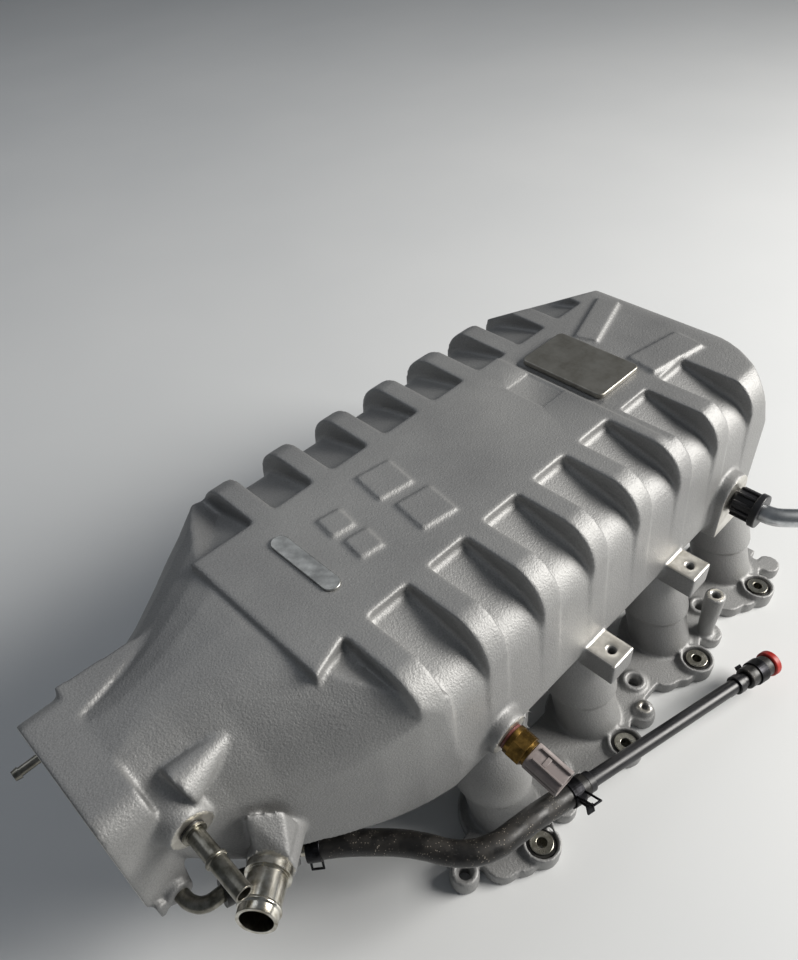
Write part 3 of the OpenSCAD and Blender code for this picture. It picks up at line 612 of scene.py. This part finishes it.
hose_start = Vector(HOSE_ROUTE[0])
spring_clamp("clamp_at_lug", hose_start, Vector((8, -7, 0.7)), 250, 8.1,
             "clamp_front", 8.0)
spring_clamp("clamp_at_pipe", PIPE_START - PIPE_LINE * 6, PIPE_LINE, 150, 8.1, "clamp_middle")
spring_clamp("clamp_at_plug", PIPE_START + PIPE_LINE * 181, PIPE_LINE, 300, 8.1, "clamp_rear", 11.0)


# ---------------------------------------------------------------- air temperature sensor
# Brass screw body with a hexagon, a dark red thread sealant, and a grey moulded
# connector shroud with two tinned pins.
brass = plated_metal("tarnished_brass", "#4c3b1e", "#866a38", 0.38, 5)
sealant = dusty_rubber("thread_sealant", "#6a3a35", "#7d4a42", "#8a5a50")
grey_pbt = moulded_plastic("grey_pbt", "#7d7472", "#a39a97", 0.45, 0.8)
tinned = plated_metal("tinned_bronze", "#a79f86", "#d9d3bd", 0.25, 3)
rounded("sensor_screw", ["sensor_body"], 0.5, brass)
rounded("sensor_sealant", ["sensor_seal"], 0.6, sealant)
rounded("sensor_contacts", ["sensor_pins"], 0.15, tinned)


def aimed(shape, at, along, roll=0.0):
    """Moves a shape built on +Z to a place and direction, in millimetres."""
    turn = Matrix.Rotation(math.radians(roll), 4, "Z")
    aim = Vector(along).to_track_quat("Z", "Y").to_matrix().to_4x4()
    bmesh.ops.transform(shape, matrix=Matrix.Translation(spot(at)) @ aim @ turn, verts=shape.verts)
    bmesh.ops.recalc_face_normals(shape, faces=shape.faces)


shape = bmesh.new()
mouth = bmesh.ops.create_circle(shape, cap_ends=True, segments=40, radius=8.6 * MM)["verts"]
for vert in mouth:
    spread = max(abs(vert.co.x), abs(vert.co.y)) / (8.6 * MM)
    vert.co.x *= 1.0 / max(spread, 0.86)
    vert.co.y *= 0.70 / max(spread, 0.86)
wall = bmesh.ops.extrude_face_region(shape, geom=shape.faces[:])
tip = [v for v in wall["geom"] if isinstance(v, bmesh.types.BMVert)]
bmesh.ops.translate(shape, verts=tip, vec=(0, 0, 25 * MM))
top = [f for f in shape.faces if all(v in tip for v in f.verts)]
bmesh.ops.inset_region(shape, faces=top, thickness=1.5 * MM)
well = bmesh.ops.extrude_face_region(shape, geom=top)
bmesh.ops.translate(shape, verts=[v for v in well["geom"] if isinstance(v, bmesh.types.BMVert)],
                    vec=(0, 0, -19 * MM))
bmesh.ops.delete(shape, geom=top, context="FACES")
for x in (-5.2, 3.8):
    bar(shape, (x, 5.2, 3), (x + 1.4, 7.7, 25))
bar(shape, (-3.6, 4.8, 9), (3.6, 6.9, 12))
bar(shape, (-9.1, -1.2, 2), (-7.8, 1.2, 24))
bar(shape, (7.8, -1.2, 2), (9.1, 1.2, 24))
aimed(shape, Vector(SENSOR_AT) + SENSOR_AXIS * 16.6, SENSOR_AXIS, 0)
shroud = finish_mesh(shape, "sensor_shroud", grey_pbt, smooth=32)
shroud_edge = shroud.modifiers.new("edge", "BEVEL")
shroud_edge.width = 0.35 * MM
shroud_edge.segments = 2
shroud_edge.limit_method = "ANGLE"
shroud_edge.angle_limit = math.radians(40)
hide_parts("sensor_housing")
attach(shroud, BODY)


# ---------------------------------------------------------------- rear line connector and line
# Black moulded quick connector with grip ribs and a domed collar, and the pale
# aluminium line that leaves it.
shape = bmesh.new()
band(shape, 4.0, 10.4, 1.6, 20, 48)
band(shape, 5.5, 13.6, 17, 22.5, 48)
band(shape, 3.6, 6.0, -13, 2, 32)
for k in range(10):
    bar(shape, (9.6, -1.1, 2.2), (12.2, 1.1, 18), 36 * k)
aimed(shape, (474, -126, 117), (0, -1, 0))
connector = finish_mesh(shape, "line_coupling", black_nylon, smooth=35)
connector_edge = connector.modifiers.new("edge", "BEVEL")
connector_edge.width = 0.9 * MM
connector_edge.segments = 3
connector_edge.limit_method = "ANGLE"
connector_edge.angle_limit = math.radians(50)
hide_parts("line_connector")
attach(connector, BODY)
LINE_ROUTE = [(474, -140, 117), (474, -150, 117), (475.5, -157, 117), (480, -164, 117), (507, -191.5, 117)]
pale_line = plated_metal("bright_aluminium_tube", "#a9acae", "#d8dadb", 0.3, 12)
bent_tube("rear_line", LINE_ROUTE, 7, "line_pipe", pale_line, bore=5)


# ---------------------------------------------------------------- seals, isolators, sleeves and bellmouths
# Moulded rubber rings, black isolators, zinc plated steel sleeves and spun aluminium
# bellmouths, each pressed or laid into the casting.
black_rubber = dusty_rubber("black_moulded_rubber", "#161514", "#2d2b29", "#5b5751")
red_rubber = dusty_rubber("red_silicone_rubber", "#7a2a1e", "#8b3a2c", "#a05a4a")
zinc_steel = plated_metal("bright_zinc_steel", "#8d8a7e", "#c9c6ba", 0.28, 4)
spun_metal = plated_metal("spun_aluminium_sheet", "#9a9b9c", "#cfd0d0", 0.32, 15)
rounded("throttle_gasket", ["throttle_seal"], 0.5, black_rubber)
rounded("breather_gasket", ["breather_seal"], 0.4, black_rubber)
rounded("line_gasket", ["line_seal"], 0.4, black_rubber)
for side in ("near", "far"):
    rounded("port_gaskets_" + side, ["port_seals_" + side], 0.5, red_rubber)
    rounded("flange_isolators_" + side, ["isolators_" + side], 0.5, black_rubber)
    rounded("flange_sleeves_" + side, ["sleeves_" + side], 0.4, zinc_steel)
    rounded("intake_bells_" + side, ["bellmouths_" + side], 0.0, spun_metal)
